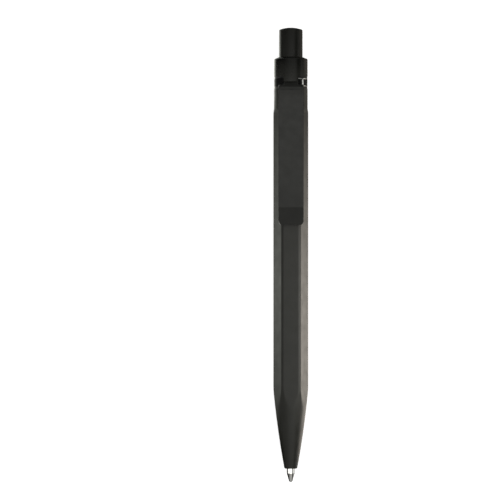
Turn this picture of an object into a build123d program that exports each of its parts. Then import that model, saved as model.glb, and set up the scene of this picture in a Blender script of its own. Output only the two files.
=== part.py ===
from build123d import *
import math
import os

# A push-button ballpoint pen with a six-sided barrel, in millimetres, in its writing position.
# It is drawn upright: the ball stands on the origin, +Z runs up the axis to the button and +X faces the
# clip. At the end the pen is laid down on the flat opposite its clip.

# Lengths along the pen
tip_reach = 4.3  # ball to nose mouth
barrel_length = 118.8  # nose mouth to the barrel's upper end
window_height = 3.6  # open band between barrel and collar
collar_height = 6.05
button_reach = 9.25  # collar to the top of the button

# Travel of the button and refill
retract_travel = 5.3  # writing position to tip in
press_travel = 1.2  # past the writing position, to unlatch
index_angle = 45.0  # turn of the cam rotor while the tip draws in

# Clearances
fit_gap = 0.05  # pushed together by hand and left
close_gap = 0.02  # filled or pressed by the maker
slide_gap = 0.1  # round pieces that slide
running_gap = 0.16  # cam pieces that slide and turn
stop_gap = 0.2  # left at the end of a travel
touch_gap = 0.05  # pieces that lean on each other and move apart

# Barrel
side_count = 6
hex_across_flats = 9.75
hex_edge_radius = 1.2
flat_depth = 0.375  # flats below the round shoulder
shoulder_height = 6.5  # barrel's upper end to the tops of the flats
flat_runout = 1.2
edge_runin_slope = 0.2  # how the six edges rise out of the round shoulder
barrel_wall = 0.95  # at the flats
barrel_end_round = 0.2
nose_length = 24.7
nose_swell = 0.283  # rise of the nose's curve above its chord
mouth_radius = 2.0
mouth_round = 0.3
seat_depth = 6.7  # nose mouth to the spring's seat
chamber_length = 19.0  # spring seat to where the bore widens
socket_depth = 4.0  # counterbore that takes the sleeve's head

# Collar
collar_cap = 1.75  # thickness of the collar's top
crown_rise = 0.55  # the top slopes up to the button
collar_round = 0.35
tongue_width = 4.6
tongue_drop = 1.9
tongue_thickness = 0.32
tongue_round = 0.2
bridge_width = 5.8
bridge_recess = 0.2

# Clip
band_sheet = 0.3
band_height = 2.5
plate_recess = 0.04  # side plates below the collar's outside
plate_start_angle = 50.0  # from the clip round to each side plate
jog_angle = 6.0  # from a side plate down to the sleeve
arm_sheet = 0.45
arm_width = 7.9
neck_width = 4.4
root_drop = 0.35  # hinge line below the tongue's end
root_gap = 0.03
arm_rise = 2.22  # root to the outermost bend
arm_fall = 1.7
arm_head = 2.4  # upright stretch below the bend
arm_slant = 29.0  # slanting stretch down to the barrel
arm_rest = 5.7  # stretch that lies on the barrel
lip_length = 5.35
lip_rise = 1.4
root_bend = 1.3
lip_bend = 3.0
arm_bow = 20.0  # radius of the two slight bends
neck_length = 0.7
neck_round = 0.6
lip_corner = 1.8

# Button and plunger
button_diameter = 7.35
button_dome = 0.65
button_round = 0.4
button_wall = 0.6
button_cap = 4.5  # plunger's end to the top of the button
button_socket = 7.5
button_stem_gap = 0.5  # skirt's inside to the plunger's upper stem

# Cam works
sleeve_wall = 0.62
rim_height = 0.4  # sleeve's rim, clamped on the barrel's end
rim_recess = 0.1
ledge_length = 6.4  # ledges over the side plates, which the collar stands on
stop_ring_rise = 0.3  # stop ring above the barrel's end
stop_ring_height = 0.6
rib_height = 0.6
rib_width = 1.5
cam_count = 4
ramp_gap = 0.5  # between the ramps of ribs and fins, along the axis
key_length = 2.0
key_width = 1.4
crown_teeth_depth = 0.8
crown_teeth_width = 1.6
crown_gap = 0.1
key_to_crown = 0.2
crown_to_ramp = 2.0
fin_length = 3.5
fin_width = 0.95
fin_to_seat = 0.95
cup_depth = 1.0
sleeve_skirt = 2.5
pilot_diameter = 2.4
pilot_length = 3.6

# Refill
tip_diameter = 2.5
ball_diameter = 0.7
ball_gap = 0.02
lip_diameter = 1.1
ball_show = 0.25  # ball below the tip's lip
cone_length = 2.55
ink_channel = 0.4
stem_diameter = 1.6
stem_length = 4.8
holder_diameter = 3.0
holder_gap = 1.8  # left under the holder at full press
flange_height = 1.5
spigot_length = 4.5
tube_diameter = 3.1
tube_wall = 0.48
air_length = 11.0  # empty tube between the follower and the end plug
follower_length = 4.0
plug_head = 1.5
plug_spigot = 3.0
plug_vent = 0.6

# Return spring
wire_diameter = 0.4
spring_slack = 0.2  # round the holder, and round the spring
spring_length = 19.0
spring_turns = 14

# Heights, from the ball up
nose_mouth_z = tip_reach
nose_end_z = nose_mouth_z + nose_length
barrel_top_z = nose_mouth_z + barrel_length
hex_top_z = barrel_top_z - shoulder_height
collar_bottom_z = barrel_top_z + window_height
collar_top_z = collar_bottom_z + collar_height
button_top_z = collar_top_z + button_reach
tongue_end_z = collar_bottom_z - tongue_drop
rim_top_z = barrel_top_z + rim_height
band_z = rim_top_z + touch_gap
band_top_z = band_z + band_height
stop_ring_z = barrel_top_z + stop_ring_rise
stop_ring_top_z = stop_ring_z + stop_ring_height
skirt_end_z = stop_ring_top_z + press_travel + 2 * stop_gap
sleeve_top_z = collar_top_z - collar_cap
socket_floor_z = barrel_top_z - socket_depth
plunger_step_z = skirt_end_z - stop_gap
plunger_top_z = button_top_z - button_cap
key_top_z = stop_ring_z - retract_travel - stop_gap
key_end_z = key_top_z - key_length
plunger_crown_z = key_end_z - key_to_crown
rotor_crown_z = plunger_crown_z - 2 * crown_teeth_depth - crown_gap
fin_ramp_z = rotor_crown_z - crown_to_ramp
fin_end_z = fin_ramp_z - fin_length
rotor_seat_z = fin_end_z - fin_to_seat
rotor_end_z = rotor_seat_z - cup_depth
sleeve_end_z = fin_end_z - press_travel - sleeve_skirt
plug_top_z = rotor_seat_z - touch_gap
tube_top_z = plug_top_z - plug_head
spring_seat_z = nose_mouth_z + seat_depth
holder_end_z = spring_seat_z + press_travel + holder_gap
flange_z = spring_seat_z + spring_length
flange_top_z = flange_z + flange_height
ink_z = flange_top_z + spigot_length
follower_top_z = tube_top_z - plug_spigot - air_length
follower_z = follower_top_z - follower_length

# Radii, from the outside in
flat_radius = hex_across_flats / 2
corner_radius = (flat_radius - hex_edge_radius) / math.cos(math.pi / side_count) + hex_edge_radius
shoulder_radius = flat_radius + flat_depth
tongue_inner = shoulder_radius - tongue_thickness
band_outer = tongue_inner - touch_gap
head_radius = band_outer - band_sheet - close_gap
bore_radius = flat_radius - barrel_wall
stem_radius = bore_radius - fit_gap
groove_radius = stem_radius - sleeve_wall
rib_inner = groove_radius - rib_height
cam_radius = rib_inner - running_gap
fin_radius = groove_radius - running_gap
button_radius = button_diameter / 2
button_bore = button_radius + slide_gap
upper_stem_radius = button_radius - button_wall - button_stem_gap
holder_radius = holder_diameter / 2
spring_radius = holder_radius + spring_slack + wire_diameter / 2
spring_outer = spring_radius + wire_diameter / 2
chamber_radius = spring_outer + spring_slack
tube_radius = tube_diameter / 2
tube_bore = tube_radius - tube_wall
tip_radius = tip_diameter / 2

# Cam ramps climb the retract travel in one index turn, taken at the middle of the ribs
ramp_radius = (rib_inner + groove_radius) / 2
ramp_slope = retract_travel / math.radians(index_angle) / ramp_radius


def turned(*outline):
    """Solid turned about the pen's axis from an outline of (radius, height) points."""
    return revolve(Plane.XZ * make_face(Polyline(*outline, close=True)), Axis.Z)


def rod(radius, low, high):
    """Round bar on the pen's axis between two heights."""
    return Pos(0, 0, low) * extrude(Circle(radius), high - low)


def block(x_range, width, low, high):
    """Straight bar across the clip's direction, centred on Y."""
    depth = x_range[1] - x_range[0]
    middle = (x_range[0] + x_range[1]) / 2
    return Pos(middle, 0, (low + high) / 2) * Box(depth, width, high - low)


def around(piece, count, first=0.0):
    """Copies of a piece spaced evenly about the axis."""
    return [Rot(0, 0, first + 360 * i / count) * piece for i in range(count)]


def ramp_plane(height):
    """Slanted plane of the cam, rising towards +Y through a radial line on +X."""
    return Plane(origin=(0, 0, height), x_dir=(1, 0, 0), z_dir=(0, -ramp_slope, 1))


def barrel():
    """Six-sided shell with a round shoulder above, a swelling nose below and a stepped bore."""
    sides = RegularPolygon(flat_radius, side_count, major_radius=False, rotation=180 / side_count)
    section = fillet(sides.vertices(), hex_edge_radius)
    prism = Pos(0, 0, nose_mouth_z) * extrude(section, hex_top_z - nose_mouth_z)

    # Turned outline that trims the prism: the nose below, the run-in of the six edges above
    swell = SagittaArc((mouth_radius, nose_mouth_z), (corner_radius, nose_end_z), nose_swell)
    reach = corner_radius + flat_depth
    leave = swell % 1
    outer = swell @ 1 + leave * ((reach - corner_radius) / leave.X)
    runin_z = hex_top_z - (reach - shoulder_radius) / edge_runin_slope
    rest = Polyline(
        (outer.X, outer.Y),
        (reach, runin_z),
        (shoulder_radius, hex_top_z),
        (0, hex_top_z),
        (0, nose_mouth_z),
        (mouth_radius, nose_mouth_z),
    )
    trim = revolve(Plane.XZ * make_face([swell, Line(swell @ 1, outer), rest]), Axis.Z)

    # Round shoulder, with a slanted cut where each flat runs out
    slope = flat_depth / flat_runout
    foot_z = hex_top_z - 2 * flat_runout
    foot = shoulder_radius - 2 * flat_depth
    brim_z = hex_top_z + flat_runout
    runout = Polyline(
        (foot, foot_z),
        (shoulder_radius + slope * flat_runout, brim_z),
        (shoulder_radius + flat_runout, brim_z),
        (shoulder_radius + flat_runout, foot_z),
        close=True,
    )
    cut = extrude(Plane.XZ * make_face(runout), corner_radius, both=True)
    shoulder = rod(shoulder_radius, foot_z, barrel_top_z)
    for flat in around(cut, side_count):
        shoulder -= flat
    shoulder = fillet(shoulder.edges().group_by(Axis.Z)[-1], barrel_end_round)

    widen_z = spring_seat_z + chamber_length
    bore = turned(
        (0, nose_mouth_z - mouth_round),
        (tip_radius + slide_gap, nose_mouth_z - mouth_round),
        (tip_radius + slide_gap, spring_seat_z),
        (chamber_radius, spring_seat_z),
        (chamber_radius, widen_z),
        (bore_radius, widen_z + bore_radius - chamber_radius),
        (bore_radius, socket_floor_z),
        (head_radius + fit_gap, socket_floor_z),
        (head_radius + fit_gap, barrel_top_z + rim_height),
        (0, barrel_top_z + rim_height),
    )
    shell = (prism & trim) + shoulder - bore
    mouth = shell.edges().filter_by(GeomType.CIRCLE).group_by(Axis.Z)[0].sort_by(SortBy.RADIUS)[-1]
    return fillet(mouth, mouth_round)


def top_collar():
    """Cap ring with a sloped top, a tongue over the clip's root and a bridge down to the sleeve's rim."""
    inner = head_radius + fit_gap
    ring = turned(
        (inner, collar_bottom_z),
        (shoulder_radius, collar_bottom_z),
        (shoulder_radius, collar_top_z - crown_rise),
        (button_bore, collar_top_z),
        (button_bore, sleeve_top_z),
        (inner, sleeve_top_z),
    )
    rim = ring.edges().filter_by(GeomType.CIRCLE).sort_by(SortBy.RADIUS)[-2:].sort_by(Axis.Z)[-1]
    ring = fillet(rim, collar_round)

    tongue = rod(shoulder_radius, tongue_end_z, collar_bottom_z)
    tongue = fillet(tongue.edges().group_by(Axis.Z)[0], tongue_round)
    tongue -= rod(tongue_inner, tongue_end_z, collar_bottom_z)
    tongue &= block((0, shoulder_radius), tongue_width, tongue_end_z, collar_bottom_z)

    bridge = rod(shoulder_radius - bridge_recess, rim_top_z, collar_bottom_z)
    bridge -= rod(inner, rim_top_z, collar_bottom_z)
    bridge &= block((-shoulder_radius, 0), bridge_width, rim_top_z, collar_bottom_z)
    return ring + tongue + bridge


def cam_sleeve():
    """Stepped guide sleeve: a head with two ledges, a rim on the barrel's end and a ribbed cam bore."""
    body = turned(
        (groove_radius, sleeve_end_z),
        (stem_radius, sleeve_end_z),
        (stem_radius, socket_floor_z),
        (head_radius, socket_floor_z),
        (head_radius, barrel_top_z),
        (shoulder_radius - rim_recess, barrel_top_z),
        (shoulder_radius - rim_recess, rim_top_z),
        (head_radius, rim_top_z),
        (head_radius, sleeve_top_z),
        (button_bore, sleeve_top_z),
        (button_bore, stop_ring_top_z),
        (rib_inner, stop_ring_top_z),
        (rib_inner, stop_ring_z),
        (groove_radius, stop_ring_z),
    )
    ledges = rod(shoulder_radius - rim_recess, band_top_z + touch_gap, collar_bottom_z - touch_gap)
    ledges -= rod(button_bore, band_top_z, collar_bottom_z)
    reach = ledge_length / 2
    ledges &= block((-reach, reach), 2 * shoulder_radius, band_top_z, collar_bottom_z)
    rib = block((0, stem_radius), rib_width, sleeve_end_z, stop_ring_z)
    rib &= rod(groove_radius + sleeve_wall / 2, sleeve_end_z, stop_ring_z)
    rib -= rod(rib_inner, sleeve_end_z, stop_ring_z)
    rib = split(rib, bisect_by=ramp_plane(fin_ramp_z + ramp_gap), keep=Keep.TOP)
    return body + ledges + around(rib, cam_count)


def band_point(radius, angle):
    """Point on the band's middle line, at an angle from the clip."""
    return (radius * math.cos(math.radians(angle)), radius * math.sin(math.radians(angle)))


def clip_band():
    """Sprung sheet band round the sleeve, bulged out into a plate at each window and open at the back."""
    near = band_outer - band_sheet / 2
    far = shoulder_radius - plate_recess - band_sheet / 2
    front_end = plate_start_angle - jog_angle
    band_end = 180 - math.degrees(math.asin((bridge_width / 2 + stop_gap) / near))
    plate_end = band_end - jog_angle
    line = CenterArc((0, 0), near, -front_end, 2 * front_end)
    for side in (1, -1):
        line += Line(band_point(near, side * front_end), band_point(far, side * plate_start_angle))
        line += CenterArc((0, 0), far, side * plate_start_angle, side * (plate_end - plate_start_angle))
        line += Line(band_point(far, side * plate_end), band_point(near, side * band_end))
    return Pos(0, 0, band_z) * extrude(trace(line, band_sheet), band_height)


def clip_arm():
    """Steel strip: rounded root under the tongue, bent out and down to the barrel, with a flared lip."""
    root_x = band_outer + root_gap + arm_sheet / 2
    root_z = tongue_end_z - root_drop
    rest_x = flat_radius + touch_gap + arm_sheet / 2
    bend = (root_x + arm_rise, root_z - arm_fall)
    head = (bend[0], bend[1] - arm_head)
    land = (rest_x, head[1] - arm_slant)
    lift = (rest_x, land[1] - arm_rest)
    lip = (rest_x + lip_rise, lift[1] - lip_length)
    bends = [root_bend, arm_bow, arm_bow, lip_bend]
    line = FilletPolyline((root_x, root_z), bend, head, land, lift, lip, radius=bends)
    strip = trace(line, arm_sheet) + Pos(root_x, root_z) * Circle(arm_sheet / 2)
    arm = extrude(Plane.XZ * strip, arm_width, both=True)

    # Front outline: full width down to the lip's round corners, with a narrow neck under the tongue
    shoulder_z = root_z - neck_length
    foot_z = lip[1] - arm_sheet
    blade = Pos(0, (shoulder_z + foot_z) / 2) * Rectangle(arm_width, shoulder_z - foot_z)
    blade = fillet(blade.vertices().group_by(Axis.Y)[-1], neck_round)
    blade = fillet(blade.vertices().group_by(Axis.Y)[0], lip_corner)
    neck = Pos(0, root_z) * Rectangle(neck_width, 2 * neck_length)
    return arm & extrude(Plane.YZ * (blade + neck), 2 * (root_x + arm_rise))


def push_button():
    """Hollow cap with a domed top, a thin skirt and a socket for the plunger."""
    dome_z = button_top_z - button_dome
    socket = upper_stem_radius + close_gap
    socket_z = plunger_top_z - button_socket
    dome = TangentArc((0, button_top_z), (button_radius, dome_z), tangent=(1, 0))
    rest = Polyline(
        (0, button_top_z),
        (0, plunger_top_z),
        (socket, plunger_top_z),
        (socket, socket_z),
        (button_radius - button_wall, socket_z),
        (button_radius - button_wall, skirt_end_z),
        (button_radius, skirt_end_z),
        (button_radius, dome_z),
    )
    cap = revolve(Plane.XZ * make_face([dome, rest]), Axis.Z)
    edge = cap.edges().filter_by(lambda e: e.is_closed).sort_by(Axis.Z)[-1]
    return fillet(edge, button_round)


def crown_grooves(root, tip):
    """V grooves across the end of a cam piece, which leave a ring of pointed teeth."""
    beyond = 2 * tip - root
    notch = Polyline((0, root), (crown_teeth_width, beyond), (-crown_teeth_width, beyond), close=True)
    groove = extrude(Plane.YZ * make_face(notch), 2 * cam_radius, both=True)
    return [Rot(0, 0, 180 * i / cam_count) * groove for i in range(cam_count)]


def plunger():
    """Button's stepped stem: guide keys between the ribs, a toothed crown and a pilot in the rotor."""
    crown_tip = plunger_crown_z - crown_teeth_depth
    stem = rod(cam_radius, crown_tip, plunger_step_z)
    for groove in crown_grooves(plunger_crown_z, crown_tip):
        stem -= groove
    key = block((0, fin_radius + running_gap), key_width, key_end_z, key_top_z)
    key &= rod(fin_radius, key_end_z, key_top_z)
    pilot = rod(pilot_diameter / 2, crown_tip - pilot_length, plunger_crown_z + crown_teeth_depth)
    upper_stem = rod(upper_stem_radius, plunger_step_z, plunger_top_z)
    return stem + upper_stem + around(key, cam_count, 180 / cam_count) + pilot


def cam_rotor():
    """Turning cam: ramped fins under the ribs, a toothed crown above and a cup on the refill's end."""
    crown_tip = rotor_crown_z + crown_teeth_depth
    bore = pilot_diameter / 2 + slide_gap
    bore_floor = plunger_crown_z - crown_teeth_depth - pilot_length - press_travel
    body = rod(cam_radius, rotor_end_z, crown_tip)
    for groove in crown_grooves(rotor_crown_z, crown_tip):
        body -= groove
    fin = block((0, fin_radius + running_gap), fin_width, fin_end_z, crown_tip)
    fin &= rod(fin_radius, fin_end_z, crown_tip)
    fin = split(fin, bisect_by=ramp_plane(fin_ramp_z), keep=Keep.BOTTOM)
    body += around(fin, cam_count)
    body -= rod(bore, bore_floor, crown_tip)
    return body - rod(tube_radius + slide_gap, rotor_end_z, rotor_seat_z)


def refill_end_plug():
    """Vented plug in the refill's tail, which the rotor pushes on."""
    plug = rod(tube_radius, tube_top_z, plug_top_z)
    plug += rod(tube_bore - close_gap, tube_top_z - plug_spigot, tube_top_z)
    return plug - rod(plug_vent / 2, tube_top_z - plug_spigot, plug_top_z)


def refill_tube():
    """Plastic ink tube, standing on the holder's flange."""
    return rod(tube_radius, flange_top_z, tube_top_z) - rod(tube_bore, flange_top_z, tube_top_z)


def ink_column():
    """Ink that fills the tube above the holder."""
    return rod(tube_bore - close_gap, ink_z, follower_z)


def ink_follower():
    """Grease plug that follows the ink down."""
    return rod(tube_bore - close_gap, follower_z, follower_top_z)


def tip_holder():
    """Adapter between tip and tube, with the flange that the spring bears on."""
    holder = turned(
        (0, holder_end_z),
        (holder_radius, holder_end_z),
        (holder_radius, flange_z),
        (spring_outer + touch_gap, flange_z),
        (spring_outer + touch_gap, flange_top_z),
        (tube_bore - close_gap, flange_top_z),
        (tube_bore - close_gap, ink_z),
        (0, ink_z),
    )
    holder -= rod(stem_diameter / 2 + close_gap, holder_end_z, holder_end_z + stem_length)
    return holder - rod(ink_channel / 2, holder_end_z, ink_z)


def writing_tip():
    """Turned metal tip: a cone that grips the ball, a round body and a stem in the holder."""
    ball_z = ball_diameter / 2
    tip = turned(
        (0, ball_show),
        (lip_diameter / 2, ball_show),
        (tip_radius, ball_show + cone_length),
        (tip_radius, holder_end_z),
        (stem_diameter / 2, holder_end_z),
        (stem_diameter / 2, holder_end_z + stem_length),
        (0, holder_end_z + stem_length),
    )
    tip -= rod(ink_channel / 2, ball_z, holder_end_z + stem_length)
    return tip - Pos(0, 0, ball_z) * Sphere(ball_diameter / 2 + ball_gap)


def tip_ball():
    """Hard ball that turns in the tip's seat."""
    return Pos(0, 0, ball_diameter / 2) * Sphere(ball_diameter / 2)


def return_spring():
    """Coil spring between the nose's seat and the holder's flange, one wire laid on pairs of arcs."""
    low = spring_seat_z + wire_diameter / 2 + touch_gap
    high = flange_z - wire_diameter / 2 - touch_gap
    steps = 2 * spring_turns
    climb = (high - low) / steps
    lead = Vector(0, math.pi * spring_radius, climb).normalized()

    def station(i):
        """Place and direction of the wire after i half turns."""
        turn = Rot(0, 0, 180 * i)
        place = (turn * Pos(spring_radius, 0, low + climb * i)).position
        heading = (turn * Pos(lead.X, lead.Y, lead.Z)).position
        return place, heading

    wire = []
    for i in range(steps):
        start, leave = station(i)
        end, arrive = station(i + 1)
        # Tangent lengths are equal, so the two arcs meet smoothly at a point between the two stations
        span = end - start
        along = span.dot(leave + arrive)
        bend = 2 * (1 - leave.dot(arrive))
        length = (math.sqrt(along**2 + bend * span.dot(span)) - along) / bend
        middle = (start + end + (leave - arrive) * length) / 2
        first = TangentArc(start, middle, tangent=leave)
        second = TangentArc(middle, end, tangent=first % 1)
        wire += [first, second]
    path = Wire(wire)
    section = Plane(origin=path @ 0, z_dir=path % 0) * Circle(wire_diameter / 2)
    print("spring: gap between turns", round(2 * climb - wire_diameter, 3), "mm")
    return sweep(section, path)


pieces = {
    "barrel": barrel(),
    "top_collar": top_collar(),
    "cam_sleeve": cam_sleeve(),
    "clip_band": clip_band(),
    "clip_arm": clip_arm(),
    "push_button": push_button(),
    "plunger": plunger(),
    "cam_rotor": cam_rotor(),
    "return_spring": return_spring(),
    "refill_end_plug": refill_end_plug(),
    "refill_tube": refill_tube(),
    "ink_column": ink_column(),
    "ink_follower": ink_follower(),
    "tip_holder": tip_holder(),
    "writing_tip": writing_tip(),
    "tip_ball": tip_ball(),
}

# Laid down: the axis runs along +Y to the button, the clip faces up, the round shoulder touches Z = 0
lying = Plane(origin=(0, -button_top_z / 2, shoulder_radius), x_dir=(0, 0, 1), z_dir=(0, 1, 0))

os.makedirs("parts", exist_ok=True)
for name, piece in pieces.items():
    export_step(lying * piece, f"parts/{name}.step")
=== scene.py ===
import bmesh
import bpy
import numpy as np
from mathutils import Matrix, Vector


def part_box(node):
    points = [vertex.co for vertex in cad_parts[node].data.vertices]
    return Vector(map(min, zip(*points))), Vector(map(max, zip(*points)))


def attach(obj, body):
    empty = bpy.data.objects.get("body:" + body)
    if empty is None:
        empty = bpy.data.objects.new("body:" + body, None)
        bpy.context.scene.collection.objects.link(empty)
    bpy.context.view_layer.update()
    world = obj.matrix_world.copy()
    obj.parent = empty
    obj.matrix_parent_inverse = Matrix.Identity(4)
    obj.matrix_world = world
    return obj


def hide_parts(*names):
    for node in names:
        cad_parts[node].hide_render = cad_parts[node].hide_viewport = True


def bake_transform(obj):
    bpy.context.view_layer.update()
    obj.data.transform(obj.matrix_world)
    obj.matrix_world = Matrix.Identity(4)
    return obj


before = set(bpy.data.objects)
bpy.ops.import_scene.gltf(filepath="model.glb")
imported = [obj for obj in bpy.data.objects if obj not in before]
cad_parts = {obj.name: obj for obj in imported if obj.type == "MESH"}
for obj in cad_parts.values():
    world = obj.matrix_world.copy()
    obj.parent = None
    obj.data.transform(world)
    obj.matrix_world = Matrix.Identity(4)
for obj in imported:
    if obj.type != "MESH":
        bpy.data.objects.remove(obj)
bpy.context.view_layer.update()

# Barrel: the six-sided shell, one injection moulding in graphite-grey plastic with a fine eroded grain.
# Its upper end is round and takes the collar, and its lower end tapers into the nose that lets the tip out.
# The six edges are rounded in the mould, and handling has polished them a little.
MM = 0.001
barrel_low, barrel_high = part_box("barrel")
axis_z = (barrel_low.z + barrel_high.z) / 2
shoulder_radius = (barrel_high.z - barrel_low.z) / 2
corner_radius = (barrel_high.x - barrel_low.x) / 2
barrel_length = barrel_high.y - barrel_low.y
sides = 6
flat_depth = 0.375 * MM
flat_radius = shoulder_radius - flat_depth
flat_runout = 1.2 * MM
edge_radius = 1.2 * MM
edge_runin_slope = 0.2
shoulder_height = 6.5 * MM
hex_top = barrel_length - shoulder_height
nose_length = 24.7 * MM
nose_swell = 0.2857 * MM
mouth_radius = 2.0 * MM
mouth_round = 0.3 * MM
end_round = 0.2 * MM
crease_softness = 0.12 * MM
tip_bore = 1.35 * MM
chamber_bore = 2.3 * MM
sleeve_bore = 3.925 * MM
socket_bore = 4.61 * MM
spring_seat = 6.7 * MM
chamber_length = 19.0 * MM
socket_depth = 4.0 * MM
polish_fade = 1.0 * MM


def around_axis(radius, angle, height):
    """Points at a radius from the pen's axis, an angle from the clip's side and a height along the pen."""
    radius, angle, height = np.broadcast_arrays(radius, angle, height)
    return np.stack([radius * np.sin(angle), height, axis_z + radius * np.cos(angle)], axis=-1)


def skin(name, points, rows_close=False, columns_close=True, crease=32, **fields):
    """Object whose quads join neighbouring points of a grid, with points that meet merged into one.

    The quads are turned round if the volume that they enclose, summed from the origin, counts as negative.
    A field is a number for each grid point, kept as an attribute for the material.
    """
    meeting = 1e-7
    rows, columns = points.shape[:2]
    index = np.arange(rows * columns).reshape(rows, columns)
    if rows_close:
        index = np.vstack([index, index[:1]])
    if columns_close:
        index = np.hstack([index, index[:, :1]])
    quads = np.stack([index[:-1, :-1], index[1:, :-1], index[1:, 1:], index[:-1, 1:]], axis=-1)
    quads = quads.reshape(-1, 4)
    places = points.reshape(-1, 3)
    a, b, c, d = (places[quads[:, corner]] for corner in range(4))
    volume = np.sum(a * np.cross(b, c)) + np.sum(a * np.cross(c, d))
    mesh = bpy.data.meshes.new(name)
    mesh.from_pydata(places.tolist(), [], (quads if volume > 0 else quads[:, ::-1]).tolist())
    for label, values in fields.items():
        layer = mesh.attributes.new(label, "FLOAT", "POINT")
        layer.data.foreach_set("value", np.broadcast_to(values, (rows, columns)).astype(np.float32).ravel())
    made = bmesh.new()
    made.from_mesh(mesh)
    bmesh.ops.remove_doubles(made, verts=made.verts, dist=meeting)
    made.to_mesh(mesh)
    made.free()
    mesh.shade_smooth()
    mesh.set_sharp_from_angle(angle=np.radians(crease))
    piece = bpy.data.objects.new(name, mesh)
    bpy.context.scene.collection.objects.link(piece)
    return piece


def soft_min(a, b, width):
    """Smaller of two fields, with the crease where they cross rounded off over a width."""
    overlap = np.maximum(width - np.abs(a - b), 0) / width
    return np.minimum(a, b) - overlap**2 * width / 4


def hexagon(points=13):
    """Angles and radii round a six-sided section with rounded edges, and how far each point is on an edge.

    A side is a straight run, closer spaced at its ends. An edge is an arc about a point inside the corner.
    """
    half_turn = np.pi / sides
    centre_out = flat_radius - edge_radius
    half_side = centre_out * np.tan(half_turn)
    across = half_side * np.sin(np.linspace(-np.pi / 2, np.pi / 2, points))
    turn = np.linspace(0, 2 * half_turn, points)[1:-1]
    out = np.concatenate([np.full_like(across, flat_radius), centre_out + edge_radius * np.cos(turn)])
    side = np.concatenate([across, half_side + edge_radius * np.sin(turn)])
    worn = np.concatenate([np.zeros_like(across), np.sin(turn * sides / 2)])
    angles = np.arctan2(side, out) + 2 * half_turn * np.arange(sides)[:, None]
    return angles.ravel(), np.tile(np.hypot(out, side), sides), np.tile(worn, sides)


def spaced(first, *stops):
    """Values that run in equal steps from stop to stop, where a stop is (value, count of steps to it)."""
    starts = [first, *(value for value, count in stops)]
    runs = [np.linspace(start, value, count + 1)[1:] for start, (value, count) in zip(starts, stops)]
    return np.concatenate([[first], *runs])


def arc(count):
    """Sine and cosine of a quarter turn in equal steps, as two columns."""
    turn = np.linspace(0, np.pi / 2, count)[:, None]
    return np.sin(turn), np.cos(turn)


# Rows of the grid lie closer together round the nose's start and the shoulder, where the form changes.
angles, hex_radius, on_edge = hexagon()
change_below, nose_change_above, shoulder_change_above = 6 * MM, 1.5 * MM, 1.8 * MM
rise = spaced(
    mouth_round,
    (nose_length - change_below, 30),
    (nose_length + nose_change_above, 60),
    (hex_top - change_below, 40),
    (hex_top + shoulder_change_above, 60),
    (barrel_length - end_round, 8),
)[:, None]
# The outside is the least of the six-sided section, the nose's taper, which swells as a parabola and then
# goes straight on, and the slope on which the edges run in below the shoulder. The shoulder is round, and
# the flats run out into it on a slope of their own.
along = rise / nose_length
taper = mouth_radius + (corner_radius - mouth_radius) * along + 4 * nose_swell * along * (1 - along)
straight_on = corner_radius + (along - 1) * (corner_radius - mouth_radius - 4 * nose_swell)
taper = np.where(along < 1, taper, straight_on)
runin = shoulder_radius + (hex_top - rise) * edge_runin_slope
six_sided = soft_min(soft_min(hex_radius, taper, crease_softness), runin, crease_softness)
from_side = (angles + np.pi / sides) % (2 * np.pi / sides) - np.pi / sides
runout = (shoulder_radius + (rise - hex_top) * flat_depth / flat_runout) / np.cos(from_side)
rounded = soft_min(np.full_like(runout, shoulder_radius), runout, crease_softness)
outside = np.where(rise < hex_top, np.maximum(six_sided, rounded), rounded)
sine, cosine = arc(6)
mouth = outside[:1] - mouth_round * (1 - cosine[::-1])
rim = shoulder_radius - end_round * (1 - cosine)
bore = np.array([
    (socket_bore, barrel_length),
    (socket_bore, barrel_length - socket_depth),
    (sleeve_bore, barrel_length - socket_depth),
    (sleeve_bore, spring_seat + chamber_length + sleeve_bore - chamber_bore),
    (chamber_bore, spring_seat + chamber_length),
    (chamber_bore, spring_seat),
    (tip_bore, spring_seat),
    (tip_bore, 0.0),
])
radii = np.vstack([mouth, outside[1:], rim[1:] + 0 * angles, bore[:, :1] + 0 * angles])
heights = np.vstack([
    mouth_round * (1 - sine[::-1]),
    rise[1:],
    barrel_length - end_round + end_round * sine[1:],
    bore[:, 1:],
])
worn = np.zeros_like(radii)
above_nose = np.clip((rise[1:] - nose_length) / polish_fade, 0, 1)
worn[len(mouth):len(mouth) + len(above_nose)] = on_edge * above_nose
barrel = skin("barrel_shell", around_axis(radii, angles, barrel_low.y + heights), rows_close=True, worn=worn)


def new_material(name):
    """Empty node material, its tree and its shader."""
    material = bpy.data.materials.new(name)
    material.use_nodes = True
    return material, material.node_tree, material.node_tree.nodes["Principled BSDF"]


def wire(tree, node, inputs):
    """Links each named input of a node to a socket, or sets it to a value."""
    for name, value in inputs.items():
        if isinstance(value, bpy.types.NodeSocket):
            tree.links.new(value, node.inputs[name])
        else:
            node.inputs[name].default_value = value


def put(tree, kind, inputs, **settings):
    """New node with its settings, and with each input linked to a socket or set to a value."""
    node = tree.nodes.new(kind)
    for setting, value in settings.items():
        setattr(node, setting, value)
    wire(tree, node, inputs)
    return node


def field(tree, name):
    """A field that the piece keeps for each of its points."""
    return put(tree, "ShaderNodeAttribute", {}, attribute_name=name).outputs["Fac"]


def noise(tree, scale, detail=2.0, squeeze=(1, 1, 1)):
    """Noise with so many bumps to the metre in the object's own space, times a squeeze along each axis."""
    where = put(tree, "ShaderNodeTexCoord", {}).outputs["Object"]
    where = put(tree, "ShaderNodeMapping", {"Vector": where, "Scale": squeeze}).outputs["Vector"]
    return put(tree, "ShaderNodeTexNoise", {"Vector": where, "Scale": scale, "Detail": detail}).outputs["Fac"]


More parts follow.
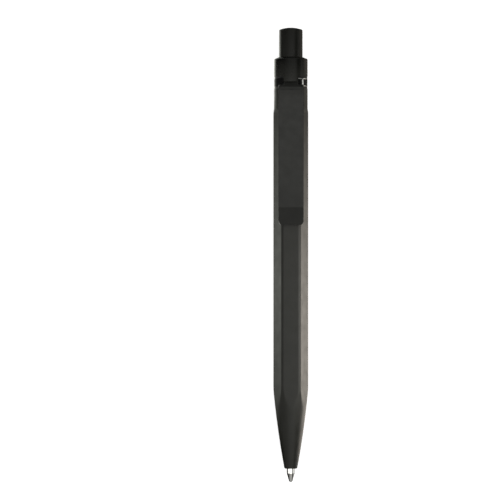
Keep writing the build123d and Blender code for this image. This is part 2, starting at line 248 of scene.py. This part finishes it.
def ramp(tree, value, over, first, last, kind="LINEAR"):
    """A number that goes from the first to the last value as another runs over a range."""
    inputs = {"Value": value, "From Min": over[0], "From Max": over[1], "To Min": first, "To Max": last}
    return put(tree, "ShaderNodeMapRange", inputs, interpolation_type=kind).outputs["Result"]


def span(tree, value, low, high):
    """A number between two limits, from noise that mostly lies between a third and two thirds."""
    return ramp(tree, value, (0.33, 0.67), low, high)


def times(tree, *values):
    """Product of numbers."""
    product = values[0]
    for value in values[1:]:
        product = put(tree, "ShaderNodeMath", {0: product, 1: value}, operation="MULTIPLY").outputs[0]
    return product


def minus(tree, value, less):
    """A number less another."""
    return put(tree, "ShaderNodeMath", {0: value, 1: less}, operation="SUBTRACT").outputs[0]


def blend_colours(tree, share, first, second):
    """Colour that goes from the first to the second by a share. A colour is a socket or three numbers."""
    first, second = (c if isinstance(c, bpy.types.NodeSocket) else (*c, 1) for c in (first, second))
    # The Mix node's sockets for colours come after those for numbers and for vectors.
    return put(tree, "ShaderNodeMix", {0: share, 6: first, 7: second}, data_type="RGBA").outputs[2]


def bumps(tree, height, strength, depth):
    """Normal of a surface that noise raises by up to a depth."""
    inputs = {"Height": height, "Strength": strength, "Distance": depth}
    return put(tree, "ShaderNodeBump", inputs).outputs["Normal"]


def grained_plastic(name, dark, light, rough, grain_size, grain_depth, specular, polish=0.0, wear_and_shade_share=0.7):
    """Moulded plastic: cloudy in tone over millimetres, with a fine even grain.

    Where its field is set, in patches, its roughness is less by the polish and its colour is a share of the
    dark.
    The field holds wear on the barrel's edges and painted shade on the collar's crown.
    """
    clouds_per_metre, gloss_per_metre = 180, 420
    least_worn = 0.4
    grain_strength = 0.6
    material, tree, shader = new_material(name)
    cloud = noise(tree, clouds_per_metre, 3)
    colour = blend_colours(tree, span(tree, cloud, 0, 1), dark, light)
    roughness = span(tree, noise(tree, gloss_per_metre, 3), *rough)
    if polish:
        patchy = times(tree, field(tree, "worn"), span(tree, cloud, least_worn, 1.0))
        roughness = minus(tree, roughness, times(tree, patchy, polish))
        colour = blend_colours(tree, patchy, colour, [wear_and_shade_share * value for value in dark])
    wire(tree, shader, {
        "Base Color": colour,
        "Roughness": roughness,
        "Specular IOR Level": specular,
        "Normal": bumps(tree, noise(tree, 1 / grain_size, 2), grain_strength, grain_depth),
    })
    return material


barrel.data.materials.append(grained_plastic(
    "graphite_plastic", dark=(0.011, 0.0112, 0.0088), light=(0.014, 0.0142, 0.0114), rough=(0.36, 0.46),
    grain_size=0.16 * MM, grain_depth=0.012 * MM, specular=0.3, polish=0.1,
))
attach(barrel, "body")
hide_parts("barrel")

# Return spring: hard-drawn steel wire coiled round the tip's holder, between a step in the nose and a flange.
# It is a loose piece that stands on the step. In the pen it shortens as the refill comes down; here it is
# built at one length.
spring_low, spring_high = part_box("return_spring")
wire_radius = 0.2 * MM
spring_turns = 14
steps_per_turn = 36
wire_sides = 12
coil_radius = (spring_high.x - spring_low.x) / 2 - wire_radius
coil_climb = spring_high.y - spring_low.y - 2 * wire_radius
# The wire is a circle carried along a helix, square to it, and each end is closed by a disc.
turn = np.linspace(0, 2 * np.pi * spring_turns, spring_turns * steps_per_turn + 1)[:, None]
lead = np.arctan2(coil_climb, coil_radius * 2 * np.pi * spring_turns)
round_wire = np.linspace(0, 2 * np.pi, wire_sides, endpoint=False)
away, aside = wire_radius * np.cos(round_wire), wire_radius * np.sin(round_wire)
coil = around_axis(
    coil_radius + away,
    turn - aside * np.sin(lead) / coil_radius,
    spring_low.y + wire_radius + coil_climb * turn / turn[-1] + aside * np.cos(lead),
)
ends = coil[[0, -1]].mean(axis=1, keepdims=True) + np.zeros_like(coil[:1])
spring = skin("spring_coil", np.concatenate([ends[:1], coil, ends[1:]]))


def rubbed_metal(name, dark, light, rough, squeeze, depth):
    """Bare metal: cloudy in tone, with fine marks drawn out along each axis whose squeeze is below one."""
    clouds_per_metre, marks_per_metre = 900, 4000
    mark_strength = 0.4
    material, tree, shader = new_material(name)
    marks = noise(tree, marks_per_metre, 3, squeeze)
    wire(tree, shader, {
        "Base Color": blend_colours(tree, span(tree, noise(tree, clouds_per_metre, 2), 0, 1), dark, light),
        "Metallic": 1.0,
        "Roughness": span(tree, marks, *rough),
        "Normal": bumps(tree, marks, mark_strength, depth),
    })
    return material


spring.data.materials.append(rubbed_metal(
    "spring_steel", dark=(0.42, 0.41, 0.40), light=(0.56, 0.55, 0.53), rough=(0.22, 0.38),
    squeeze=(1, 1, 1), depth=0.004 * MM,
))
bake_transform(spring)
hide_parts("return_spring")

# Writing tip: turned from a bright nickel-silver rod, with a cone that is rolled over to hold the ball.
# A thin stem behind it is pressed into the plastic holder, and a fine channel brings the ink down.
tip_low, tip_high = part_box("writing_tip")
tip_radius = (tip_high.x - tip_low.x) / 2
cone_length = 2.55 * MM
cone_break = 0.06 * MM
lip_radius = 0.55 * MM
lip_round = 0.06 * MM
body_length = 13.75 * MM
stem_radius = 0.8 * MM
channel_radius = 0.2 * MM
ball_low, ball_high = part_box("tip_ball")
ball_radius = (ball_high.y - ball_low.y) / 2
ball_y = ball_low.y + ball_radius
ball_play = 0.02 * MM
seat_radius = ball_radius + ball_play


def bent_line(corners, radii, steps=6):
    """Points along straight runs, where each inner corner turns on an arc that touches both runs."""
    corners = np.asarray(corners, dtype=float)
    points = [corners[:1]]
    for before, corner, after, radius in zip(corners, corners[1:], corners[2:], radii):
        arrive = (corner - before) / np.linalg.norm(corner - before)
        leave = (after - corner) / np.linalg.norm(after - corner)
        turn = np.arctan2(arrive[0] * leave[1] - arrive[1] * leave[0], arrive @ leave)
        start = corner - arrive * radius * np.tan(abs(turn) / 2)
        across = np.sign(turn) * np.array([-arrive[1], arrive[0]])
        part = np.linspace(0, abs(turn), steps if radius else 1)[:, None]
        points.append(start + radius * (np.sin(part) * arrive + (1 - np.cos(part)) * across))
    return np.concatenate([*points, corners[-1:]])


def lathe(name, profile, count=64, **options):
    """Object turned about the pen's axis from a profile of (radius, height) rows."""
    around = np.linspace(0, 2 * np.pi, count, endpoint=False)
    return skin(name, around_axis(profile[:, :1], around, profile[:, 1:]), **options)


def ball_arc(start, end, count, radius):
    """Profile on a circle round the ball's centre, between two angles from the tip's end of the axis."""
    part = np.linspace(start, end, count)[:, None]
    return np.hstack([radius * np.sin(part), ball_y - radius * np.cos(part)])


outside = bent_line(
    [
        (lip_radius - 2 * lip_round, tip_low.y),
        (lip_radius, tip_low.y),
        (tip_radius, tip_low.y + cone_length),
        (tip_radius, tip_low.y + body_length),
        (stem_radius, tip_low.y + body_length),
        (stem_radius, tip_high.y),
        (channel_radius, tip_high.y),
    ],
    [lip_round, cone_break, cone_break, 0, cone_break],
)
seat_start = np.pi - np.arcsin(channel_radius / seat_radius)
seat_end = np.arccos((ball_y - tip_low.y) / seat_radius)
seat = ball_arc(seat_start, seat_end, 12, seat_radius)
tip = lathe("tip_cone", np.vstack([outside, seat]), rows_close=True)
tip.data.materials.append(rubbed_metal(
    "tip_metal", dark=(0.58, 0.575, 0.56), light=(0.70, 0.695, 0.68), rough=(0.06, 0.12),
    squeeze=(0.05, 1.5, 0.05), depth=0.002 * MM,
))
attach(tip, "refill")
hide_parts("writing_tip")

# Ball: a ground carbide sphere that writes by rolling, with a film of ink where it has turned.
# It is loose in the tip, held by the lip that is rolled over it.
bare_carbide, inked_carbide = (0.30, 0.30, 0.31), (0.03, 0.03, 0.035)
ink_spots_per_metre = 2600
ball = lathe("ball", ball_arc(0, np.pi, 25, ball_radius), count=48)
carbide, tree, shader = new_material("ball_carbide")
film = span(tree, noise(tree, ink_spots_per_metre, 2), 0, 1)
wire(tree, shader, {
    "Base Color": blend_colours(tree, film, bare_carbide, inked_carbide),
    "Metallic": 0.8,
    "Roughness": span(tree, film, 0.15, 0.3),
})
ball.data.materials.append(carbide)
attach(ball, "ball")
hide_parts("tip_ball")

# Refill behind the tip: a moulded holder with the spring's flange, an extruded tube on it, ink, a grease plug
# that follows the ink, and a vented end plug. All are pressed together and slide as one.


def paint(node, material):
    """Gives a CAD node its material in place of the one it came with."""
    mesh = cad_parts[node].data
    mesh.materials.clear()
    mesh.materials.append(material)


paint("tip_holder", grained_plastic(
    "holder_plastic", dark=(0.62, 0.61, 0.57), light=(0.72, 0.71, 0.67), rough=(0.35, 0.45),
    grain_size=0.2 * MM, grain_depth=0.006 * MM, specular=0.45,
))
tube_plastic = grained_plastic(
    "tube_plastic", dark=(0.66, 0.67, 0.65), light=(0.76, 0.77, 0.75), rough=(0.18, 0.28),
    grain_size=0.5 * MM, grain_depth=0.004 * MM, specular=0.5,
)
paint("refill_tube", tube_plastic)
paint("refill_end_plug", tube_plastic)
paint("ink_column", grained_plastic(
    "ink", dark=(0.003, 0.003, 0.005), light=(0.006, 0.006, 0.010), rough=(0.06, 0.12),
    grain_size=1.0 * MM, grain_depth=0.002 * MM, specular=0.5,
))
paint("ink_follower", grained_plastic(
    "grease", dark=(0.55, 0.50, 0.36), light=(0.66, 0.62, 0.48), rough=(0.12, 0.22),
    grain_size=1.0 * MM, grain_depth=0.004 * MM, specular=0.5,
))

# Cam works: a ribbed sleeve pressed into the barrel's end, a plunger with guide keys and a rotor that it
# turns. They are moulded in slippery acetal, the sleeve in black and the two moving cams in natural white.
paint("cam_sleeve", grained_plastic(
    "black_plastic", dark=(0.004, 0.004, 0.004), light=(0.008, 0.008, 0.008), rough=(0.38, 0.5),
    grain_size=0.2 * MM, grain_depth=0.008 * MM, specular=0.3,
))
cam_plastic = grained_plastic(
    "cam_plastic", dark=(0.68, 0.67, 0.62), light=(0.76, 0.75, 0.70), rough=(0.3, 0.4),
    grain_size=0.3 * MM, grain_depth=0.006 * MM, specular=0.45,
)
paint("plunger", cam_plastic)
paint("cam_rotor", cam_plastic)

# Clip band: dark-coated sheet steel sprung round the sleeve, open at the back, with two side plates that fill
# the windows between barrel and collar. The clip's root is held against its front. Bare steel shows along the
# rims and at the bends, where the coat was scraped in the press. On the left front it is left out, and the
# dark coat there is painted shade.
band_low, band_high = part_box("clip_band")
band_height = band_high.y - band_low.y
sheet = 0.3 * MM
near_radius = 4.73 * MM
far_radius = 5.06 * MM
plate_start, plate_end, band_end, jog = np.radians([50.0, 133.05, 139.05, 6.0])
edge_break = 0.06 * MM
bare_rim, rim_fade = 0.2 * MM, 0.08 * MM
shaded_left_end = np.radians(72.0)
full_wear_end, side_wear_start = np.radians([58.0, 75.0])
side_wear = 0.4


def rounded_box(width, height, radius, rim, steps=4):
    """Section (across, up) of a bar, a rectangle with arcs for edges, with points at the rims of one face."""
    out, up = width / 2, height / 2
    face = [(out, level) for level in (-up + rim[0], -up + rim[1], up - rim[1], up - rim[0])]
    corners = [(0, -up), (out, -up), *face, (out, up), (-out, up), (-out, -up), (0, -up)]
    return bent_line(corners, [radius, 0, 0, 0, 0, radius, radius, radius], steps)[:-1]


# The section is carried round the axis, on a radius that eases out to the plates and in again at the ends.
ramps = [plate_start - jog, plate_start, plate_end, band_end]
half = spaced(0.0, (ramps[0], 23), (ramps[1], 8), (ramps[2], 39), (ramps[3], 8))
station = np.concatenate([-half[:0:-1], half])[:, None]
bulge = np.interp(np.abs(station), ramps, [0, 1, 1, 0])
middle = near_radius + (far_radius - near_radius) * bulge**2 * (3 - 2 * bulge)
section = rounded_box(sheet, band_height, edge_break, (bare_rim, bare_rim + rim_fade))
level = (band_low.y + band_high.y) / 2 + section[:, 1]
band = around_axis(middle + section[:, 0], station, level)
ends = around_axis(middle[[0, -1]], station[[0, -1]], level)
# Wear follows the rims and the bends, and is fainter on the sides. It is left out on the left front, where
# the dark coat stands in as painted shade.
on_rim = np.clip((np.abs(section[:, 1]) - band_height / 2 + bare_rim + rim_fade) / rim_fade, 0, 1)
on_bend = 4 * bulge * (1 - bulge)
shaded_left_spared = np.clip((-station - shaded_left_end) / jog, 0, 1)
worn = np.maximum(on_rim, on_bend) * np.where(station < 0, shaded_left_spared, 1)
worn = worn * np.interp(np.abs(station), [full_wear_end, side_wear_start], [1, side_wear])
worn = np.concatenate([worn[:1], worn, worn[-1:]])
band = skin("band_strip", np.concatenate([ends[:1], band, ends[1:]]), worn=worn)


def lacquered_steel(name, dark, light, bare, rough, specular, patchy, shown):
    """Lacquer over steel: cloudy in tone and gloss, with bare metal in patches where its field marks wear.

    A patch comes up as noise runs over the patchy range, to the share that is shown.
    """
    clouds_per_metre, gloss_per_metre = 220, 500
    patches_per_metre, ripples_per_metre = 900, 2600
    ripple_strength, ripple_depth = 0.4, 0.006 * MM
    material, tree, shader = new_material(name)
    lacquer = blend_colours(tree, span(tree, noise(tree, clouds_per_metre, 3), 0, 1), dark, light)
    patches = ramp(tree, noise(tree, patches_per_metre, 3), patchy, 0.0, shown)
    scraped = times(tree, field(tree, "worn"), patches)
    wire(tree, shader, {
        "Base Color": blend_colours(tree, scraped, lacquer, bare),
        "Metallic": scraped,
        "Roughness": span(tree, noise(tree, gloss_per_metre, 3), *rough),
        "Specular IOR Level": specular,
        "Normal": bumps(tree, noise(tree, ripples_per_metre, 2), ripple_strength, ripple_depth),
    })
    return material


band.data.materials.append(lacquered_steel(
    "band_coat", dark=(0.004, 0.004, 0.004), light=(0.007, 0.007, 0.007), bare=(0.75, 0.75, 0.73),
    rough=(0.30, 0.40), specular=0.05, patchy=(0.3, 0.6), shown=1.0,
))
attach(band, "body")
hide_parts("clip_band")

# Clip: one strip of spring steel, blanked with rounded corners, bent out under the collar's tongue, laid on
# the barrel low down and flared at the end. It is lacquered dark, and pockets have rubbed its edges bright
# near the lip.
clip_low, clip_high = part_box("clip_arm")
strip = 0.45 * MM
strip_width = clip_high.x - clip_low.x
strip_edge = 0.12 * MM
neck_width = 4.4 * MM
neck_length = 0.7 * MM
neck_round = 0.6 * MM
lip_corner = 1.8 * MM
wear_start = 39.5 * MM
# The strip's middle line, as (distance from the pen's axis, height from the root).
route = [(5.135, 0), (7.355, -1.7), (7.355, -4.1), (5.15, -33.1), (5.15, -38.8), (6.55, -44.15)]
route = np.array(route) * MM
route_bends = [1.3 * MM, 20 * MM, 20 * MM, 3 * MM]
bend_steps = 40
route_step = 0.12 * MM
route_end = -route[-1, 1]
line = bent_line(route, route_bends, bend_steps)
walked = np.concatenate([[0], np.cumsum(np.linalg.norm(np.diff(line, axis=0), axis=1))])
# Rows of the grid are lengths along that line. The root's end is round, and the foot's edge is broken.
neck_end = np.interp(neck_length, -line[:, 1], walked)
root_turn = np.linspace(np.pi / 2, 0, 7)[:-1]
foot_turn = np.linspace(0, np.pi / 2, 5)
neck_rows = np.concatenate([-strip / 2 * np.sin(root_turn), np.linspace(0, neck_end, 9)])
blade_rows = np.arange(neck_end, walked[-1] - strip_edge, route_step)
foot_rows = walked[-1] - strip_edge * (1 - np.sin(foot_turn))
rows = np.concatenate([neck_rows, blade_rows, foot_rows, walked[-1:]])
thick = np.full_like(rows, strip / 2)
thick[:len(root_turn)] *= np.cos(root_turn)
thick[-len(foot_turn) - 1:-1] -= strip_edge * (1 - np.cos(foot_turn))
thick[-1] = 0


def along_route(values):
    """Values on the clip's middle line, read at every row."""
    return np.stack([np.interp(rows, walked, values[:, side]) for side in (0, 1)], axis=1)


def corner_cut(depth, radius):
    """How far an arc at a corner stands in from the strip's side, at a depth from the end that it rounds."""
    inside = np.clip(radius - depth, 0, radius)
    return radius - np.sqrt(radius**2 - inside**2)


heading = along_route(np.gradient(line, walked, axis=0))
heading /= np.linalg.norm(heading, axis=1, keepdims=True)
normal = np.stack([-heading[:, 1], heading[:, 0]], axis=1)
middle = along_route(line) + np.minimum(rows, 0)[:, None] * heading
drop = -middle[:, 1]
wide = strip_width / 2 - corner_cut(drop - neck_length, neck_round)
wide -= corner_cut(route_end + strip - drop, lip_corner)
wide[:len(neck_rows)] = neck_width / 2
# The section is a rectangle with a quarter circle at each edge: a share of the inner box, plus a rounding.
flat = np.array([0.95, 0.6, 0.0, -0.6, -0.95])
quarter = np.linspace(0, np.pi / 2, 4)
sine, cosine = np.sin(quarter), np.cos(quarter)
ones, face = np.ones_like(quarter), np.ones_like(flat)
side_share = np.concatenate([flat, -ones, -ones, -flat, ones, ones])
side_round = np.concatenate([0 * face, -sine, -cosine, 0 * face, sine, cosine])
face_share = np.concatenate([face, ones, -ones, -face, -ones, ones])
face_round = np.concatenate([face, cosine, -sine, -face, -cosine, sine])
rounding = np.minimum(strip_edge, thick)[:, None]
sideways = side_share * (wide[:, None] - rounding) + side_round * rounding
outward = face_share * (thick[:, None] - rounding) + face_round * rounding
place = middle[:, None, :] + outward[:, :, None] * normal[:, None, :]
root_y = clip_high.y - strip / 2
points = np.stack([sideways, root_y + place[:, :, 1], axis_z + place[:, :, 0]], axis=-1)
near_lip = np.clip((drop - wear_start) / (route_end - wear_start), 0, 1)
on_edge = near_lip[:, None] * (np.abs(side_share) == 1)
clip = skin("clip_strip", points, worn=on_edge)
clip.data.materials.append(lacquered_steel(
    "coated_steel", dark=(0.007, 0.0072, 0.0062), light=(0.010, 0.0102, 0.0088), bare=(0.34, 0.34, 0.33),
    rough=(0.30, 0.40), specular=0.27, patchy=(0.45, 0.6), shown=0.5,
))
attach(clip, "clip")
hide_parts("clip_arm")

# Collar: the moulded cap ring at the pen's upper end, pressed over the sleeve's head, with a sloped top.
# Its tongue comes down over the clip's root, and a bridge at the back reaches down to the barrel's end.
collar_low, collar_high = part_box("top_collar")
collar_radius = (collar_high.x - collar_low.x) / 2
ring_height = 6.05 * MM
ring_y = collar_high.y - ring_height
tongue_drop = 1.9 * MM
tongue_y = ring_y - tongue_drop
bridge_y = collar_low.y
wall_start = 0.5 * MM
crown_rise = 0.55 * MM
crown_round = 0.35 * MM
crown_shade_band = 0.35 * MM
collar_cap = 1.75 * MM
collar_inner = 4.61 * MM
button_bore = 3.775 * MM
tongue_half, tongue_inner, tongue_round = 2.3 * MM, 4.93 * MM, 0.2 * MM
bridge_half, bridge_radius = 2.9 * MM, 5.05 * MM
ring_break = 0.07 * MM
tongue_turn = np.arcsin(tongue_half / collar_radius)
bridge_turn = np.pi - np.arcsin(bridge_half / bridge_radius)
# Going round, each column of the grid is on the tongue, the plain ring or the bridge, and takes its inner and
# outer radius, its lower end and the rounding there from that stretch. The top is the same all round.
tongue, ring, bridge = 0, 1, 2
counts = [14, 40, 14]
stretches = [(0, tongue_turn), (tongue_turn, bridge_turn), (bridge_turn, np.pi)]
half = np.concatenate([np.linspace(*ends, count) for ends, count in zip(stretches, counts)])
kind = np.repeat([tongue, ring, bridge], counts)
station = np.concatenate([half, -half[-2:0:-1]])
kind = np.concatenate([kind, kind[-2:0:-1]])
inner = np.choose(kind, [tongue_inner, collar_inner, collar_inner])
outer = np.choose(kind, [collar_radius, collar_radius, bridge_radius])
lowest = np.choose(kind, [tongue_y, ring_y, bridge_y])
lower_round = np.choose(kind, [tongue_round, ring_break, ring_break])
sine, cosine = arc(5)
foot_r = outer - lower_round * (1 - sine)
foot_y = lowest + lower_round * (1 - cosine)
step_r = np.maximum(outer, collar_radius - ring_break * (1 - sine))
step_y = np.maximum(foot_y[-1], ring_y + ring_break * np.where(kind == bridge, 1 - cosine, 1))
upper = bent_line(
    [
        (collar_radius, ring_y + wall_start),
        (collar_radius, collar_high.y - crown_rise),
        (button_bore, collar_high.y),
        (button_bore, collar_high.y - collar_cap),
        (collar_inner, collar_high.y - collar_cap),
        (collar_inner, ring_y),
    ],
    [crown_round, ring_break, 0, 0],
)
same = np.zeros_like(station)
radii = np.vstack([inner, inner, foot_r, step_r, upper[:, :1] + same])
levels = np.vstack([ring_y + same, lowest, foot_y, step_y, upper[:, 1:] + same])
# The crown and a band just below it are painted near black: painted shade where the collar meets the button.
# They are a little less rough there too.
painted_crown_shade = np.clip((levels - collar_high.y + crown_rise + crown_shade_band) / ring_break, 0, 1)
collar = skin("collar_cap", around_axis(radii, station, levels), rows_close=True, worn=painted_crown_shade)
collar.data.materials.append(grained_plastic(
    "collar_plastic", dark=(0.011, 0.0112, 0.0095), light=(0.014, 0.0142, 0.0120), rough=(0.26, 0.34),
    grain_size=0.16 * MM, grain_depth=0.008 * MM, specular=0.14, polish=0.05, wear_and_shade_share=0.1,
))
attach(collar, "body")
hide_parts("top_collar")

# Push button: a hollow plastic cap with a slightly domed top, moulded in one piece.
# It is glued on the plunger's stem and slides in the collar's bore.
button_low, button_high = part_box("push_button")
button_radius = (button_high.x - button_low.x) / 2
button_dome = 0.65 * MM
button_round = 0.4 * MM
button_wall = 0.6 * MM
button_head = 4.5 * MM
socket_radius = 2.595 * MM
socket_length = 7.5 * MM
socket_top = button_high.y - button_head
socket_end = socket_top - socket_length
# The dome is part of a sphere that passes through the top's middle and rim.
dome_radius = (button_radius**2 + button_dome**2) / (2 * button_dome)
part = np.linspace(0, np.arcsin((button_radius - button_round) / dome_radius), 8)
dome = np.stack([dome_radius * np.sin(part), button_high.y - dome_radius * (1 - np.cos(part))], axis=1)
profile = bent_line(
    [
        *dome,
        (button_radius, button_high.y - button_dome),
        (button_radius, button_low.y),
        (button_radius - button_wall, button_low.y),
        (button_radius - button_wall, socket_end),
        (socket_radius, socket_end),
        (socket_radius, socket_top),
        (0, socket_top),
    ],
    [0] * (len(dome) - 1) + [button_round, ring_break, ring_break, 0, 0, 0],
)
button = lathe("button_cap", profile, count=96)
button.data.materials.append(grained_plastic(
    "button_plastic", dark=(0.007, 0.0072, 0.0060), light=(0.010, 0.0102, 0.0086), rough=(0.26, 0.34),
    grain_size=0.16 * MM, grain_depth=0.008 * MM, specular=0.14,
))
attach(button, "button")
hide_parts("push_button")

# Floor: the pale, matt light table that the pen lies on.
# It glows, so that the pen casts no shadow on it, and the pen's gloss doesn't show it.
floor_size = 4.0
floor_dark, floor_light = (0.86, 0.86, 0.86), (0.88, 0.88, 0.88)
floor_clouds_per_metre = 6
floor_glow = 0.7
reach = np.linspace(-floor_size / 2, floor_size / 2, 3)
corners = np.stack(np.meshgrid(reach, reach, [0.0], indexing="ij"), axis=-1)[:, :, 0]
floor = skin("floor", corners, columns_close=False)
pale, tree, shader = new_material("pale_floor")
cloud = span(tree, noise(tree, floor_clouds_per_metre, 2), 0, 1)
wire(tree, shader, {
    "Base Color": blend_colours(tree, cloud, floor_dark, floor_light),
    "Roughness": 0.9,
    "Specular IOR Level": 0.1,
    "Emission Color": (1, 1, 1, 1),
    "Emission Strength": floor_glow,
})
floor.data.materials.append(pale)


def hide_from(piece, *rays):
    """Keeps a stage piece out of the sight of some kinds of ray."""
    for kind in rays:
        setattr(piece, "visible_" + kind, False)


hide_from(floor, "glossy")

# Backdrop: a white dome over the table, half a sphere, which stands behind the pen in low views.
# Only the camera sees it, so it gives the pen no light.
backdrop_radius = 1.9
turn = np.linspace(0, 2 * np.pi, 72, endpoint=False)
climb = np.linspace(0, np.pi / 2, 19)[:, None]
outward = [np.cos(climb) * np.cos(turn), np.cos(climb) * np.sin(turn), np.sin(climb)]
outward = np.stack(np.broadcast_arrays(*outward), axis=-1)
backdrop = skin("backdrop", backdrop_radius * outward)


def only_glow(tree, shader, colour, strength):
    """Makes a material glow in a colour, and take no light from elsewhere."""
    wire(tree, shader, {"Base Color": (0, 0, 0, 1), "Specular IOR Level": 0.0})
    wire(tree, shader, {"Emission Color": (*colour, 1), "Emission Strength": strength})


white, tree, shader = new_material("white_backdrop")
only_glow(tree, shader, (1, 1, 1), 1.0)
backdrop.data.materials.append(white)
hide_from(backdrop, "diffuse", "glossy", "transmission", "shadow")

# Cards: four glowing sheets round the pen, which show only in its gloss, in place of the table. A pale one is
# on the left, with a strip close to the pen that is brightest beside its upper end. A warm one lies on the
# right, brightest beside the lower half, with a plain one beyond it at the tip, and a panel leans above it.
card_sides = np.array([5.6, 11.5, 14.5, 60]) * MM
card_level = 0.2 * MM
panel_sides, panel_levels = np.array([42, 18]) * MM, np.array([25, 45]) * MM
# Each glow runs along the pen between stops, as (height in millimetres, glow).
left_strip = [(-80, 0.0), (-62, 0.0), (-8, 1.0), (43, 0.5), (52, 2.8), (80, 2.8)]
left_sheet = [(-80, 0.0), (-58, 0.0), (-44, 1.2), (-8, 2.05), (38, 1.0), (50, 0.1), (80, 0.1)]
right_strip = [(-67, 1.8), (-62, 1.8), (-38, 2.5), (-8, 2.3), (36, 0.6), (48, 0.3), (80, 0.3)]
right_sheet = [(-67, 3.4), (-62, 3.4), (-38, 5.4), (-14, 5.0), (20, 2.65), (36, 1.4), (46, 0.8), (80, 0.8)]
right_panel = [(-60, 1.3), (-40, 4.0), (0, 4.0), (36, 0.1)]
tip_sheet = [(-80, 1.05), (-67, 1.05)]
left_runs = [left_strip, left_strip, left_sheet, left_sheet]
right_runs = [right_strip, right_strip, right_sheet, right_sheet]
tip_runs = [tip_sheet] * 4
panel_runs = [right_panel] * 2


def card(name, side, level, runs, colour, steps=160):
    """Sheet ruled along the pen through points beside it, each with its own run of (height, glow) stops."""
    stops = [np.array(run).T for run in runs]
    up = np.linspace(stops[0][0, 0], stops[0][0, -1], steps + 1) * MM
    glow = np.stack([np.interp(up, heights * MM, glows) for heights, glows in stops])
    points = np.stack(np.broadcast_arrays(side[:, None], up, np.reshape(level, (-1, 1))), axis=-1)
    piece = skin(name, points, columns_close=False, glow=glow)
    material, tree, shader = new_material(name)
    only_glow(tree, shader, colour, field(tree, "glow"))
    piece.data.materials.append(material)
    hide_from(piece, "camera", "diffuse", "transmission", "shadow")


card("left_card", -card_sides, card_level, left_runs, (0.98, 1.0, 0.92))
card("right_card", card_sides, card_level, right_runs, (1.0, 0.92, 0.82))
card("tip_card", card_sides, card_level, tip_runs, (1.0, 1.0, 0.98))
card("right_panel", panel_sides, panel_levels, panel_runs, (1.0, 0.98, 0.92))

# Light: a white tent overhead, with no lamp. It is dim on the left and has a dark gap on the right. It dims
# towards both ends of the pen, with a brighter lip far past the button, and a narrow bright strip runs
# across its top and left for the tip.
# A fade is a range of the part of the direction that points right, to the button or up, or of the distance
# from a place in it.
tent_colour = (1.0, 1.0, 0.96, 1)
horizon_fade = (-0.1, 0.1)
tent_left, tent_top, tent_right = 0.5, 1.65, 1.8
left_fade, right_fade = (-0.9, 0.0), (0.0, 0.9)
tent_gap, tent_gap_side, gap_fade = 0.05, 0.79, (0.12, 0.2)
tent_far, far_fade = 0.55, (-0.02, 0.14)
tent_crease, crease_fade = 0.45, (0.12, 0.22)
tent_lip, lip_fade = 2.3, (0.36, 0.5)
tent_near, near_fade = 0.35, (-0.5, -0.15)
tip_strip, tip_strip_place, tip_strip_fade = 1.6, -0.08, (0.015, 0.04)
tip_strip_end = (0.4, 0.6)
world = bpy.data.worlds.new("light_tent")
bpy.context.scene.world = world
world.use_nodes = True
tree = world.node_tree
towards = put(tree, "ShaderNodeTexCoord", {}).outputs["Generated"]
to_side, to_button, to_sky = put(tree, "ShaderNodeSeparateXYZ", {"Vector": towards}).outputs


def fade(value, over, first, last):
    """Glow that goes smoothly from the first to the last value as a number runs over a range."""
    return ramp(tree, value, over, first, last, "SMOOTHSTEP")


def off(value, middle):
    """How far a number is from a middle value, on either side."""
    return put(tree, "ShaderNodeMath", {0: minus(tree, value, middle)}, operation="ABSOLUTE").outputs[0]


above = fade(to_sky, horizon_fade, 0.0, 1.0)
left_side = fade(to_side, left_fade, tent_left, tent_top)
right_side = fade(to_side, right_fade, 1.0, tent_right / tent_top)
gap = fade(off(to_side, tent_gap_side), gap_fade, tent_gap, 1.0)
far_end = fade(to_button, far_fade, 1.0, tent_far)
crease = fade(to_button, crease_fade, 1.0, tent_crease)
lip = fade(to_button, lip_fade, 1.0, tent_lip)
near_end = fade(to_button, near_fade, tent_near, 1.0)
tent = times(tree, above, left_side, right_side, gap, far_end, crease, lip, near_end)
on_strip = fade(off(to_button, tip_strip_place), tip_strip_fade, tip_strip, 0.0)
strip_light = times(tree, above, on_strip, fade(to_side, tip_strip_end, 1.0, 0.0))
tent = put(tree, "ShaderNodeMath", {0: tent, 1: strip_light}, operation="ADD").outputs[0]
sky = put(tree, "ShaderNodeBackground", {"Color": tent_colour, "Strength": tent}).outputs[0]
tree.links.new(sky, tree.nodes["World Output"].inputs["Surface"])

# Camera: straight above the table, with a long lens that shows hardly any perspective.
# The pen stands upright in the picture, right of its middle.
picture_width = 156.25 * MM
picture_middle_x, picture_middle_y = -12.75 * MM, 1.56 * MM
lens = 200.0
sensor = 36.0
eye = bpy.data.cameras.new("camera")
eye.lens = lens
eye.sensor_width = sensor
camera = bpy.data.objects.new("camera", eye)
camera.location = (picture_middle_x, picture_middle_y, axis_z + picture_width * lens / sensor)
bpy.context.scene.collection.objects.link(camera)
bpy.context.scene.camera = camera
bpy.context.scene.view_settings.view_transform = "Standard"
